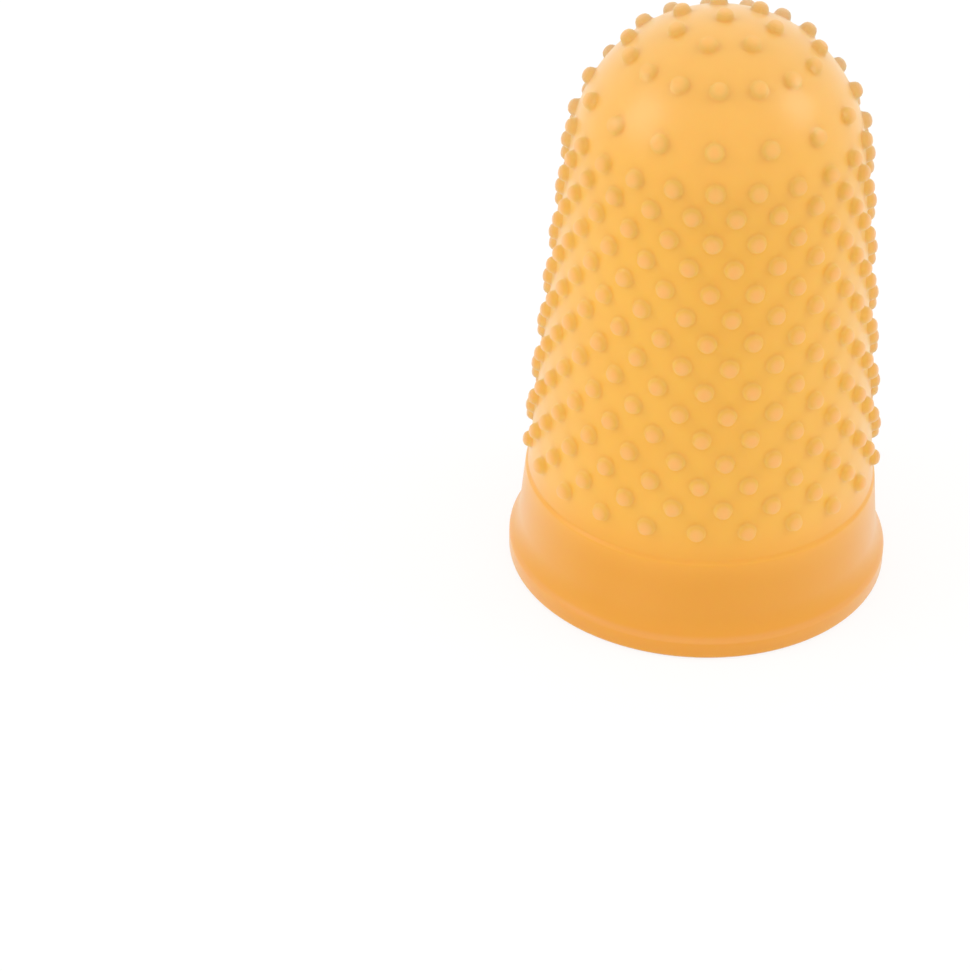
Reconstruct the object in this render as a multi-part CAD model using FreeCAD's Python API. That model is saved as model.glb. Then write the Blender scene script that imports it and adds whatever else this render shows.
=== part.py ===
"""Rubber finger tip: one moulded cup with a domed end and a smooth cuff, studded with small pips.

The mouth's rim rests on z = 0, the axis is Z and the columns of pips start at -Y. Millimetres.
Round walls stand as narrow flats that touch the true round, because the pips need the facets.
"""
import FreeCAD
import Part
import math
import os

# Outer form: a cone that rises from the mouth and runs tangent into a ball end
DOME_HEIGHT = 28.0
MOUTH_RADIUS = 8.63
TIP_RADIUS = 6.52
WALL = 0.9
# Smooth cuff, a shade proud of the studded wall outside and a shade wider inside
CUFF_HEIGHT = 4.9
CUFF_STEP = 0.1
CUFF_RELIEF = 0.1
# Bead round the mouth: an upright land with a hollow shoulder above it, and rounded rim edges
BEAD_SWELL = 0.37
BEAD_LAND = 0.95
BEAD_HEIGHT = 2.3
RIM_ROUND = 0.22
# Pips: blunt studs with straight flanks, rooted in the wall
PIP_RADIUS = 0.46
PIP_CROWN_RADIUS = 0.3
PIP_HEIGHT = 0.45
PIP_ROOT = 0.25
PIP_SIDES = 6
# Staggered rows up the cone
COLUMNS = 22
CUFF_GAP = 1.54
ROW_STEP = 1.18
# Rings of pips over the dome: the pips in each, its degrees above the dome's widest, its turn in steps
RING_COUNTS = (COLUMNS, 15, 15, 7, 1)
RING_ANGLES = (12.5, 28.0, 51.0, 70.7, 90.0)
RING_TURNS = (0.5, 0.6, 0.6, 0.5, 0.0)
# Flats: one under each column and one between, and a few to each curve of the section
FLATS = 2 * COLUMNS
DOME_FLAT_COUNT = 7
SHOULDER_FLAT_COUNT = 3
RIM_FLAT_COUNT = 2

ACROSS = FreeCAD.Vector(0, 1, 0)
AXIS = FreeCAD.Vector(0, 0, 1)
FRONT = -90.0

tip_centre = DOME_HEIGHT - TIP_RADIUS
reach = math.hypot(MOUTH_RADIUS, tip_centre)
taper = math.degrees(math.acos(TIP_RADIUS / reach) - math.atan2(tip_centre, MOUTH_RADIUS))


def on_arc(centre, radius, degrees):
    """Radius and height of the section's point that lies at an angle round a centre."""
    angle = math.radians(degrees)
    return centre[0] + radius * math.cos(angle), centre[1] + radius * math.sin(angle)


def arc(centre, radius, start, end, flats):
    """Points of the section along an arc between two angles in degrees."""
    return [on_arc(centre, radius, start + (end - start) * step / flats) for step in range(flats + 1)]


def cone_radius(height, inset=0.0):
    """Radius of the tapered wall at a height, for a skin that lies inset below the outer one."""
    return MOUTH_RADIUS - height * math.tan(math.radians(taper)) - inset / math.cos(math.radians(taper))


def shoulder():
    """The bead's shoulder: a hollow curve from the land's edge that runs smoothly into the cuff."""
    swell = MOUTH_RADIUS + BEAD_SWELL - cone_radius(BEAD_LAND) - CUFF_STEP
    points = []
    for step in range(SHOULDER_FLAT_COUNT + 1):
        share = step / SHOULDER_FLAT_COUNT
        height = BEAD_LAND + (BEAD_HEIGHT - BEAD_LAND) * share
        points.append((cone_radius(height) + CUFF_STEP + swell * (1 - share) ** 2, height))
    return points


def section():
    """Closed section of the cup: up the outside to the axis, down the inside and over the rim."""
    bead = MOUTH_RADIUS + BEAD_SWELL
    bore = cone_radius(RIM_ROUND, WALL) + CUFF_RELIEF
    outer_wall, inner_wall = cone_radius(CUFF_HEIGHT), cone_radius(CUFF_HEIGHT, WALL)
    points = arc((bead - RIM_ROUND, RIM_ROUND), RIM_ROUND, -90, 0, RIM_FLAT_COUNT)
    points += shoulder()
    points += [(outer_wall + CUFF_STEP, CUFF_HEIGHT), (outer_wall, CUFF_HEIGHT)]
    points += arc((0, tip_centre), TIP_RADIUS, taper, 90, DOME_FLAT_COUNT)
    points += arc((0, tip_centre), TIP_RADIUS - WALL, 90, taper, DOME_FLAT_COUNT)
    points += [(inner_wall, CUFF_HEIGHT), (inner_wall + CUFF_RELIEF, CUFF_HEIGHT)]
    points += arc((bore + RIM_ROUND, RIM_ROUND), RIM_ROUND, 180, 270, RIM_FLAT_COUNT)
    return points


def flat_face(corners):
    """A flat through its corners, with those that coincide on the axis taken once, or none at all."""
    outline = [a for a, b in zip(corners, corners[1:] + corners[:1]) if a.distanceToPoint(b) > 1e-6]
    return [Part.Face(Part.makePolygon(outline + outline[:1]))] if len(outline) > 2 else []


def turned(points):
    """The section carried round the axis, a flat at a time, as one closed solid."""
    spread = 1 / math.cos(math.pi / FLATS)
    edges = [FreeCAD.Rotation(AXIS, FRONT + (flat - 0.5) * 360 / FLATS) for flat in range(FLATS)]
    faces = []
    for start, end in zip(points, points[1:] + points[:1]):
        low, high = (FreeCAD.Vector(radius * spread, 0, height) for radius, height in (start, end))
        for left, right in zip(edges, edges[1:] + edges[:1]):
            corners = [left.multVec(low), right.multVec(low), right.multVec(high), left.multVec(high)]
            faces += flat_face(corners)
    return Part.Solid(Part.Shell(faces))


def pip():
    """One pip on the origin, its flanks running from its root in the wall to its flat crown."""
    flare = (PIP_RADIUS - PIP_CROWN_RADIUS) / PIP_HEIGHT
    outlines = []
    for height in (-PIP_ROOT, PIP_HEIGHT):
        radius = PIP_CROWN_RADIUS + flare * (PIP_HEIGHT - height)
        turns = [FreeCAD.Rotation(AXIS, side * 360 / PIP_SIDES) for side in range(PIP_SIDES)]
        outlines.append([turn.multVec(FreeCAD.Vector(radius, 0, height)) for turn in turns])
    root, crown = outlines
    faces = flat_face(root) + flat_face(crown)
    for side in range(PIP_SIDES):
        faces += flat_face([root[side - 1], root[side], crown[side], crown[side - 1]])
    return Part.Solid(Part.Shell(faces))


def ring(model, count, turn, foot, lean):
    """Copies of a pip round the axis, each square to the wall, which leans back by some degrees."""
    copies = []
    for number in range(count):
        spin = FreeCAD.Rotation(AXIS, FRONT + (number + turn) * 360 / count)
        stand = FreeCAD.Rotation(ACROSS, 90 - lean)
        copy = model.copy()
        copy.Placement = FreeCAD.Placement(spin.multVec(foot), spin.multiply(stand))
        copies.append(copy)
    return copies


def all_pips():
    """Staggered rows as far up as the cone goes, then the dome's rings."""
    model, dome = pip(), (0, tip_centre)
    height, cone_top = CUFF_HEIGHT + CUFF_GAP, on_arc(dome, TIP_RADIUS, taper)[1]
    pips, turn = [], 0.5
    while height < cone_top:
        pips += ring(model, COLUMNS, turn, FreeCAD.Vector(cone_radius(height), 0, height), taper)
        height, turn = height + ROW_STEP, 0.5 - turn
    for count, angle, turn in zip(RING_COUNTS, RING_ANGLES, RING_TURNS):
        radius, height = on_arc(dome, TIP_RADIUS, angle)
        pips += ring(model, count, turn, FreeCAD.Vector(radius, 0, height), angle)
    return pips


finger_tip = turned(section()).multiFuse(all_pips())
os.makedirs("parts", exist_ok=True)
finger_tip.Solids[0].exportStep("parts/finger_tip.step")
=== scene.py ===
import math
import random

import bmesh
import bpy
from mathutils import Matrix, Vector
from mathutils.geometry import delaunay_2d_cdt


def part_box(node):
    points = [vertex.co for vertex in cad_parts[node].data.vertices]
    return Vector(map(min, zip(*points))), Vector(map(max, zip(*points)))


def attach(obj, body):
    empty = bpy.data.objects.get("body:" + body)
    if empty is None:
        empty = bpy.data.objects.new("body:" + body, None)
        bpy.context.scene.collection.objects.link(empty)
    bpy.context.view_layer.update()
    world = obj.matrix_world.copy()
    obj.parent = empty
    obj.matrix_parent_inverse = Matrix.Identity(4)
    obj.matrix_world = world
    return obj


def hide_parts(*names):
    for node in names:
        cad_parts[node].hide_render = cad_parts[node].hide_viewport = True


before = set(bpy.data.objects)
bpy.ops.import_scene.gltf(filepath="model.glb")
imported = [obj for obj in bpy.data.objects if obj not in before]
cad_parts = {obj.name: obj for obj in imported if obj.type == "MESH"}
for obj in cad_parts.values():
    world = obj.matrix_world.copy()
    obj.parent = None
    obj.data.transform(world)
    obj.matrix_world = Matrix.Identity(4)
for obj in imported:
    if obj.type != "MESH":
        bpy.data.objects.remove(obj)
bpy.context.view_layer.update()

# Cup and cuff
# The finger tip is one moulding of soft rubber: a tapered wall under a millimetre thick that closes
# in a ball end. Its smooth cuff stands a shade proud of the wall and swells to a bead at the mouth.
MM = 0.001
low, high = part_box("finger_tip")
pip_height = 0.45 * MM
bead_radius = (high.x - low.x) / 2
dome_height = high.z - pip_height
mouth_radius = bead_radius - 0.37 * MM
tip_radius = 6.52 * MM
wall = 0.9 * MM
cuff_height = 4.9 * MM
cuff_step = 0.1 * MM
cuff_relief = 0.1 * MM
bead_land = 0.95 * MM
bead_height = 2.3 * MM
rim_round = 0.22 * MM
edge_round = 0.05 * MM
ledge_slope = 0.15 * MM
ledge_shares = (0, 0.06, 0.25, 0.75, 0.94, 1)
shoulder_hollow = 2.4
ball_steps = 14
wall_steps = 14
cuff_steps = 6
rim_steps = 6
shoulder_steps = 20
lead_steps = 5

tip_centre = dome_height - tip_radius
reach = math.hypot(mouth_radius, tip_centre)
taper = math.acos(tip_radius / reach) - math.atan2(tip_centre, mouth_radius)
front = math.radians(-90)
columns = 22
spokes = columns * 8


def bearing(spoke):
    """Angle round the axis of one of the mesh's spokes, the first of which faces the front."""
    return front + spoke * 2 * math.pi / spokes


def wall_radius(height, inset=0.0):
    """Radius of the tapered wall at a height, for a skin that lies inset below the outer one."""
    return mouth_radius - height * math.tan(taper) - inset / math.cos(taper)


def arc(centre, radius, start, end, steps):
    """Radius and height of points along an arc of the cup's section, between angles in degrees."""
    angles = [math.radians(start + (end - start) * step / steps) for step in range(steps + 1)]
    return [(centre[0] + radius * math.cos(a), centre[1] + radius * math.sin(a)) for a in angles]


def run(start, end, steps):
    """Radius and height of points along a straight run of the section, both its ends included."""
    shares = [step / steps for step in range(steps + 1)]
    return [tuple(a + (b - a) * share for a, b in zip(start, end)) for share in shares]


def ledge(wide, narrow):
    """A small sloped ledge at the cuff's height, with softened edges and a straight lead to each."""
    lead = edge_round * 4
    lean = lead * math.tan(taper)
    slope = [(wide + (narrow - wide) * share, ledge_slope * (share - 0.5)) for share in ledge_shares]
    profile = [(wide + lean, -lead)] + slope + [(narrow - lean, lead)]
    return [(radius, cuff_height + rise) for radius, rise in profile]


def shoulder(steps):
    """The bead's shoulder, a hollow curve from the land's edge that runs smoothly into the cuff."""
    swell = bead_radius - wall_radius(bead_land) - cuff_step
    points = []
    for step in range(steps + 1):
        share = step / steps
        height = bead_land + (bead_height - bead_land) * share
        points.append((wall_radius(height) + cuff_step + swell * (1 - share) ** shoulder_hollow, height))
    return points


bore = wall_radius(rim_round, wall) + cuff_relief
cuff_inside = ledge(wall_radius(cuff_height, wall) + cuff_relief, wall_radius(cuff_height, wall))
cuff_outside = ledge(wall_radius(cuff_height) + cuff_step, wall_radius(cuff_height))
section = arc((0, tip_centre), tip_radius - wall, 90, math.degrees(taper), ball_steps)[1:]
section += run(section[-1], cuff_inside[-1], wall_steps)[1:] + cuff_inside[-2::-1]
section += run(cuff_inside[0], (bore, rim_round), cuff_steps)[1:-1]
section += arc((bore + rim_round, rim_round), rim_round, 180, 270, rim_steps)
section += arc((bead_radius - rim_round, rim_round), rim_round, -90, 0, rim_steps)
section += [(bead_radius, bead_land - edge_round * 3), (bead_radius, bead_land - edge_round)]
section += [(bead_radius - edge_round * 0.3, bead_land)]
section += shoulder(shoulder_steps)[1:]
section += run(section[-1], cuff_outside[0], lead_steps)[1:] + cuff_outside[1:]

mesh = bmesh.new()


def turned_ring(radius, height):
    """One ring of the mesh, a vertex on each spoke."""
    angles = [bearing(spoke) for spoke in range(spokes)]
    return [mesh.verts.new((radius * math.cos(a), radius * math.sin(a), height)) for a in angles]


def bridge(lower, upper):
    """Quads between two closed rings of as many vertices."""
    for here in range(len(lower)):
        after = (here + 1) % len(lower)
        mesh.faces.new((lower[here], lower[after], upper[after], upper[here]))


rings = [turned_ring(radius, height) for radius, height in section]
apex = mesh.verts.new((0, 0, dome_height - wall))
for here in range(spokes):
    mesh.faces.new((apex, rings[0][(here + 1) % spokes], rings[0][here]))
for lower, upper in zip(rings, rings[1:]):
    bridge(upper, lower)

# Pips up the wall
# Blunt pips stand square to the wall in staggered rows, moulded with it, so each has a small fillet
# at its foot and a crown that the mould leaves rounded.
pip_profile = (
    (0.52 * MM, 0.0),
    (0.45 * MM, 0.02 * MM),
    (0.405 * MM, 0.08 * MM),
    (0.38 * MM, 0.18 * MM),
    (0.335 * MM, 0.29 * MM),
    (0.25 * MM, 0.385 * MM),
    (0.13 * MM, 0.435 * MM),
)
pip_facets = 24
row_step = 1.18 * MM
first_row = cuff_height + 1.54 * MM
wall_rows = 14
collar_from_axis = 77.5
weave = 0.2 * MM
row_margin = 0.72 * MM
slant = (tip_centre + tip_radius * math.sin(taper)) / math.cos(taper)
moulding = random.Random(7)


def on_skin(angle, along):
    """The wall's point at an angle round the axis and a distance up the slope from the mouth."""
    if along < slant:
        radius, height = mouth_radius - along * math.sin(taper), along * math.cos(taper)
    else:
        lean = taper + (along - slant) / tip_radius
        radius, height = tip_radius * math.cos(lean), tip_centre + tip_radius * math.sin(lean)
    return Vector((radius * math.cos(angle), radius * math.sin(angle), height))


def slope_to(from_axis):
    """Distance up the slope to the dome's points at an angle from the axis, in degrees."""
    return slant + tip_radius * (math.radians(90 - from_axis) - taper)


def square_to(point):
    """The wall's outward direction at a point on it or near it."""
    lean = max(math.atan2(point.z - tip_centre, point.xy.length), taper)
    out = point.xy.normalized() * math.cos(lean)
    return Vector((out.x, out.y, math.sin(lean)))


def settle(point):
    """The point of the wall square under a point near it."""
    normal = square_to(point)
    return point - normal * (normal.dot(point - Vector((0, 0, tip_centre))) - tip_radius)


def grow_pip(centre, cell=None):
    """Builds a pip on the wall, joins it to the edge of its cell if it has one, and gives its foot."""
    normal = square_to(centre)
    east = Vector((1, 0, 0))
    if normal.xy.length > 0.01:
        east = Vector((-centre.y, centre.x, 0)).normalized()
    north = normal.cross(east)
    stand = moulding.uniform(0.94, 1)
    steps = []
    for radius, rise in pip_profile:
        step = []
        for facet in range(pip_facets):
            angle = facet * 2 * math.pi / pip_facets
            spot = centre + (east * math.cos(angle) + north * math.sin(angle)) * radius
            step.append(mesh.verts.new(settle(spot) + normal * rise * stand))
        steps.append(step)
    crown = mesh.verts.new(centre + normal * pip_height * stand)
    for outer, inner in zip(steps, steps[1:]):
        bridge(outer, inner)
    for facet in range(pip_facets):
        mesh.faces.new((steps[-1][facet], steps[-1][(facet + 1) % pip_facets], crown))
    if cell:
        bridge(cell, steps[0])
    return steps[0]


rows = [(first_row + row * row_step) / math.cos(taper) for row in range(wall_rows)]
rows.append(slope_to(collar_from_axis))
half_turn = [0.5 if row % 2 == 0 else 0.0 for row in range(len(rows))]


def row_line(line, spoke):
    """Distance up the slope of the line below a row, which weaves between the pips, at a spoke."""
    if line == 0:
        return rows[0] - row_margin
    if line == len(rows):
        return rows[-1] + row_margin
    swing = math.cos(2 * math.pi * (spoke * columns / spokes - half_turn[line - 1]))
    return (rows[line - 1] + rows[line]) / 2 + weave * swing


lines = []
for line in range(len(rows) + 1):
    heights = [(bearing(spoke), row_line(line, spoke)) for spoke in range(spokes)]
    lines.append([mesh.verts.new(on_skin(angle, along)) for angle, along in heights])
bridge(rings[-1], lines[0])
span = spokes // columns
side_posts = 3
for row, along in enumerate(rows):
    start = round(half_turn[row] * span)
    sides = []
    for column in range(columns):
        spoke = start + column * span + span // 2
        bottom, top = row_line(row, spoke), row_line(row + 1, spoke)
        shares = [(post + 1) / (side_posts + 1) for post in range(side_posts)]
        posts = [on_skin(bearing(spoke), bottom + (top - bottom) * share) for share in shares]
        sides.append([mesh.verts.new(post) for post in posts])
    for column in range(columns):
        centre = start + column * span
        across = range(centre - span // 2, centre + span // 2 + 1)
        below = [lines[row][spoke % spokes] for spoke in across]
        above = [lines[row + 1][spoke % spokes] for spoke in across]
        right, left = sides[column], sides[column - 1]
        cell = right[1:] + above[::-1] + left[::-1] + below + right[:1]
        grow_pip(on_skin(bearing(centre), along), cell)

# Pips over the dome
# The pips open out into wider rings round the tip, with smooth rubber between them. The skin there
# is laid out flat, as on a map centred on the tip, and joined up in small even triangles.
dome_rings = ((15, 62.0, 0.6), (15, 39.0, 0.6), (7, 19.3, 0.5), (1, 0.0, 0.0))
map_pitch = 0.42 * MM
clearance = 0.2 * MM


def to_map(point):
    """A point of the dome on a map round the tip that keeps distances from it, in millimetres."""
    distance = tip_radius * math.atan2(point.xy.length, point.z - tip_centre)
    return point.xy.normalized() * distance / MM


def from_map(spot):
    """The dome's point at a spot of that map."""
    from_axis = math.degrees(spot.length * MM / tip_radius)
    return on_skin(math.atan2(spot.y, spot.x), slope_to(from_axis))


centres, skin_verts = [], []
for count, from_axis, turn in dome_rings:
    for number in range(count):
        angle = front + (number + turn) * 2 * math.pi / count
        centres.append(on_skin(angle, slope_to(from_axis)))
        skin_verts += grow_pip(centres[-1])
pip_verts = len(skin_verts)
skin_verts += lines[-1]
spots = [to_map(vert.co) for vert in skin_verts]
map_radius = min(spot.length for spot in spots[pip_verts:])
grid = math.ceil(map_radius / (map_pitch / MM) * 1.2)
for across in range(-grid, grid + 1):
    for up in range(-grid, grid + 1):
        spot = Vector((across + (up % 2) / 2, up * math.sqrt(0.75))) * map_pitch / MM
        point = from_map(spot)
        free = min((point - centre).length for centre in centres) > pip_profile[0][0] + clearance
        if free and spot.length < map_radius - clearance / MM:
            spots.append(spot)
            skin_verts.append(mesh.verts.new(point))
for triangle in delaunay_2d_cdt(spots, [], [], 0, 1e-6)[2]:
    pips_met = {corner // pip_facets if corner < pip_verts else -1 - corner for corner in triangle}
    if len(pips_met) > 1:
        mesh.faces.new([skin_verts[corner] for corner in triangle])

bmesh.ops.recalc_face_normals(mesh, faces=mesh.faces)
rubber_mesh = bpy.data.meshes.new("finger_tip_rubber")
mesh.to_mesh(rubber_mesh)
mesh.free()
rubber_mesh.shade_smooth()

# Light that enters a pip leaves all round it, so its sides are shaded more like the wall around it,
# and most of all over the dome.
soften_wall = 0.62
soften_dome = 0.8
dome_margin = 2 * MM
shading = []
for vert in rubber_mesh.vertices:
    outward = square_to(vert.co)
    share = min(max(((vert.co.z - tip_centre) / dome_margin + 1) / 2, 0), 1)
    soften = soften_wall + (soften_dome - soften_wall) * share
    on_skin_or_pip = (vert.co - Vector((0, 0, tip_centre))).dot(outward) > tip_radius - wall / 2
    studded = vert.co.z > first_row - row_margin and on_skin_or_pip
    shading.append(vert.normal.lerp(outward, soften) if studded else vert.normal)
rubber_mesh.normals_split_custom_set_from_vertices(shading)
finger_tip = bpy.data.objects.new("finger_tip_rubber", rubber_mesh)
bpy.context.scene.collection.objects.link(finger_tip)
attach(finger_tip, "root")
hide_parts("finger_tip")


# Amber rubber
# The rubber is a clear amber with a satin skin. Its colour carries painted shade, deeper over the cuff
# and inside behind each pip. It also carries painted light, paler over the dome, pip sides, crowns and
# bead edge.
# Light soaks through it and evens out the shading, and a faint bloom makes it look paler where
# the skin turns away.
class Wire:
    """An output of a material's nodes, which adds its Math nodes when it is used in a sum."""

    def __init__(self, tree, socket=None):
        self.tree = tree
        self.socket = socket

    def node(self, kind, settings, inputs, output=0):
        """Adds a node with its settings, then the values or links of its inputs."""
        made = self.tree.nodes.new(kind)
        for name, value in settings.items():
            setattr(made, name, value)
        for name, value in inputs.items():
            if isinstance(value, Wire):
                self.tree.links.new(value.socket, made.inputs[name])
            else:
                made.inputs[name].default_value = value
        return Wire(self.tree, made.outputs[output] if made.outputs else None)

    def maths(self, operation, *terms):
        return self.node("ShaderNodeMath", {"operation": operation}, dict(enumerate(terms)))

    def __add__(self, other):
        return self.maths("ADD", self, other)

    def __sub__(self, other):
        return self.maths("SUBTRACT", self, other)

    def __mul__(self, other):
        return self.maths("MULTIPLY", self, other)

    __radd__ = __add__
    __rmul__ = __mul__

    def __rsub__(self, other):
        return self.maths("SUBTRACT", other, self)

    def ease(self, low, high, start=0.0, end=1.0):
        """Goes smoothly from start to end as this value goes from low to high."""
        inputs = {"Value": self, "From Min": low, "From Max": high, "To Min": start, "To Max": end}
        return self.node("ShaderNodeMapRange", {"interpolation_type": "SMOOTHSTEP"}, inputs)

    def mix(self, first, second):
        """Goes from the first colour to the second as this value goes from 0 to 1."""
        return self.node("ShaderNodeMix", {"data_type": "RGBA"}, {0: self, 6: first, 7: second}, 2)


# Amber and honey are the rubber's own tones. Honey also carries painted shade, and the other colours are
# painted light.
amber = (0.975, 0.495, 0.045, 1)
honey_and_shade = (0.81, 0.345, 0.001, 1)
painted_top_light = (0.865, 0.48, 0.095, 1)
painted_highlight = (0.83, 0.415, 0.172, 1)
painted_fill_light = (0.99, 0.53, 0.07, 1)
cloud_share, cuff_shade_share, top_light_share = 0.08, 0.9, 0.7
fill_light_share, crown_highlight_share, edge_highlight_share, pip_shade_share = 0.8, 0.52, 0.25, 0.6

rubber = bpy.data.materials.new("amber_rubber")
rubber.use_nodes = True
rubber.node_tree.nodes.clear()
bench = Wire(rubber.node_tree)
place = bench.node("ShaderNodeTexCoord", {}, {}, "Object")
across, along, up = (
    bench.node("ShaderNodeSeparateXYZ", {}, {"Vector": place}, letter) for letter in "XYZ"
)
out = bench.maths("SQRT", across * across + along * along)
over = up - tip_centre
lean = bench.maths("MAXIMUM", bench.maths("ARCTAN2", over, out), taper)
proud = out * bench.maths("COSINE", lean) + over * bench.maths("SINE", lean) - tip_radius
on_dome = up.ease(tip_centre - dome_margin, dome_height)
on_studs = up.ease(cuff_height, first_row - row_margin) * (1 - on_dome * 0.6)
# Painted fill light on the pips' sides.
on_flank = proud.ease(0, 0.06 * MM) * proud.ease(0.26 * MM, 0.1 * MM) * on_studs
# Painted highlight on the pips' crowns.
on_crown = proud.ease(0.15 * MM, pip_height) * on_studs
on_cuff = up.ease(cuff_height + 2.0 * MM, cuff_height - 1.5 * MM)
# Painted highlight along the bead's edge above its land.
under_edge = up.ease(bead_land - 0.15 * MM, bead_land)
over_edge = up.ease(bead_land + 0.3 * MM, bead_land + 0.1 * MM)
on_edge = under_edge * over_edge * out.ease(mouth_radius - 0.4 * MM, mouth_radius)
# Painted shade: each pip of the wall's rows shows through as a darker spot inside, where this product is
# near -1.
round_axis = bench.maths("COSINE", columns * (bench.maths("ARCTAN2", along, across) - front))
stagger = round_axis * bench.maths("COSINE", (up - first_row) * (math.pi / row_step))
top_row = first_row + (wall_rows - 1) * row_step
in_rows = up.ease(first_row - row_margin, first_row - 0.5 * MM)
in_rows = in_rows * up.ease(top_row + row_margin, top_row + 0.5 * MM)
pip_shade_inside = stagger.ease(-0.3, -0.6) * in_rows * proud.ease(-0.4 * MM, -0.7 * MM)
cloud = bench.node("ShaderNodeTexNoise", {}, {"Vector": place, "Scale": 260, "Detail": 3}, "Fac")
grain = bench.node("ShaderNodeTexNoise", {}, {"Vector": place, "Scale": 5200, "Detail": 2}, "Fac")
body = (cloud.ease(0.35, 0.65) * cloud_share).mix(amber, honey_and_shade)
# Painted shade: the cuff and bead are coloured deeper, where less light reaches them.
body = (on_cuff * cuff_shade_share).mix(body, honey_and_shade)
# Painted light: the dome is coloured paler, as light falls on it from above.
body = (on_dome * top_light_share).mix(body, painted_top_light)
# Painted fill light: the pips' sides are coloured lighter, to lift the shade round each pip.
body = (on_flank * fill_light_share).mix(body, painted_fill_light)
# Painted highlight: the pips' crowns are coloured paler and pinker.
body = (on_crown * crown_highlight_share).mix(body, painted_highlight)
# Painted highlight: a thin pale line along the bead's edge above its land.
body = (on_edge * edge_highlight_share).mix(body, painted_highlight)
# Painted shade: a darker spot inside behind each pip.
body = (pip_shade_inside * pip_shade_share).mix(body, honey_and_shade)
relief = bench.node("ShaderNodeBump", {}, {"Strength": 0.1, "Distance": 0.02 * MM, "Height": grain})
skin = bench.node("ShaderNodeBsdfPrincipled", {"subsurface_method": "RANDOM_WALK"}, {
    "Base Color": body,
    "Roughness": cloud.ease(0.3, 0.7, 0.29, 0.34),
    "IOR": 1.58,
    "Subsurface Weight": 0.75,
    "Subsurface Radius": (1.0, 0.7, 0.5),
    "Subsurface Scale": 0.5 * MM,
    "Sheen Weight": 0.4,
    "Sheen Roughness": 0.5,
    "Sheen Tint": (0.9, 0.86, 0.8, 1),
    "Normal": relief,
}, "BSDF")
bench.node("ShaderNodeOutputMaterial", {}, {"Surface": skin})
rubber_mesh.materials.append(rubber)

# Camera
# The finger tip stands on its mouth and is seen from above, from a hand's length away.
frame_pixels = 971
focal_pixels = 2984
view_tilt = math.radians(34.83)
view_turn = math.radians(3.43)
view_roll = math.radians(0.43)
mouth_in_view = Vector((10.165, -2.862, -144.42)) * MM

camera_data = bpy.data.cameras.new("camera")
camera_data.lens = camera_data.sensor_width * focal_pixels / frame_pixels
camera_data.clip_start = 0.01
camera = bpy.data.objects.new("camera", camera_data)
aim = Matrix.Rotation(-view_turn, 4, "Z") @ Matrix.Rotation(math.pi / 2 - view_tilt, 4, "X")
aim = aim @ Matrix.Rotation(view_roll, 4, "Z")
camera.matrix_world = aim @ Matrix.Translation(-mouth_in_view)
bpy.context.scene.collection.objects.link(camera)
bpy.context.scene.camera = camera

# Floor and light
# A white table in a light tent: even light from all round, and a soft lamp high on each side.
floor_size = 3.0
floor_mesh = bpy.data.meshes.new("floor")
corners = [(x * floor_size, y * floor_size, 0) for x, y in ((-1, -1), (1, -1), (1, 1), (-1, 1))]
floor_mesh.from_pydata(corners, [], [(0, 1, 2, 3)])
floor = bpy.data.objects.new("floor", floor_mesh)
bpy.context.scene.collection.objects.link(floor)


def seen_directly(wire):
    """Whether a ray comes from the camera, a gloss or a clear piece, as 0 or 1."""
    kinds = ("Is Camera Ray", "Is Glossy Ray", "Is Transmission Ray")
    camera_ray, glossy, through = (wire.node("ShaderNodeLightPath", {}, {}, kind) for kind in kinds)
    return wire.maths("MAXIMUM", wire.maths("MAXIMUM", camera_ray, glossy), through)


paper = bpy.data.materials.new("white_table")
paper.use_nodes = True
paper.node_tree.nodes.clear()
table = Wire(paper.node_tree)
matt = table.node("ShaderNodeBsdfDiffuse", {}, {"Color": (0.97, 0.97, 0.97, 1)})
glow = table.node("ShaderNodeEmission", {}, {"Color": (1, 1, 1, 1), "Strength": 1.02})
sheet = table.node("ShaderNodeMixShader", {}, {0: seen_directly(table) * 0.8, 1: matt, 2: glow})
table.node("ShaderNodeOutputMaterial", {}, {"Surface": sheet})
floor_mesh.materials.append(paper)

tent = bpy.data.worlds.new("light_tent")
tent.use_nodes = True
tent.node_tree.nodes.clear()
air = Wire(tent.node_tree)
level = seen_directly(air).ease(0, 1, 0.94, 1.0)
glow = air.node("ShaderNodeBackground", {}, {"Color": (1, 1, 1, 1), "Strength": level})
air.node("ShaderNodeOutputWorld", {}, {"Surface": glow})
bpy.context.scene.world = tent
bpy.context.scene.view_settings.view_transform = "Standard"


def softbox(name, place, size, power):
    """A square lamp that faces the middle of the finger tip."""
    lamp_data = bpy.data.lights.new(name, "AREA")
    lamp_data.shape = "SQUARE"
    lamp_data.size = size
    lamp_data.energy = power
    lamp = bpy.data.objects.new(name, lamp_data)
    lamp.location = place
    towards = Vector((0, 0, dome_height / 2)) - lamp.location
    lamp.rotation_euler = towards.to_track_quat("-Z", "Y").to_euler()
    bpy.context.scene.collection.objects.link(lamp)


softbox("lamp_left", Vector((-0.254, -0.026, 0.175)), 0.16, 0.15)
softbox("lamp_right", Vector((0.200, -0.030, 0.170)), 0.10, 0.08)
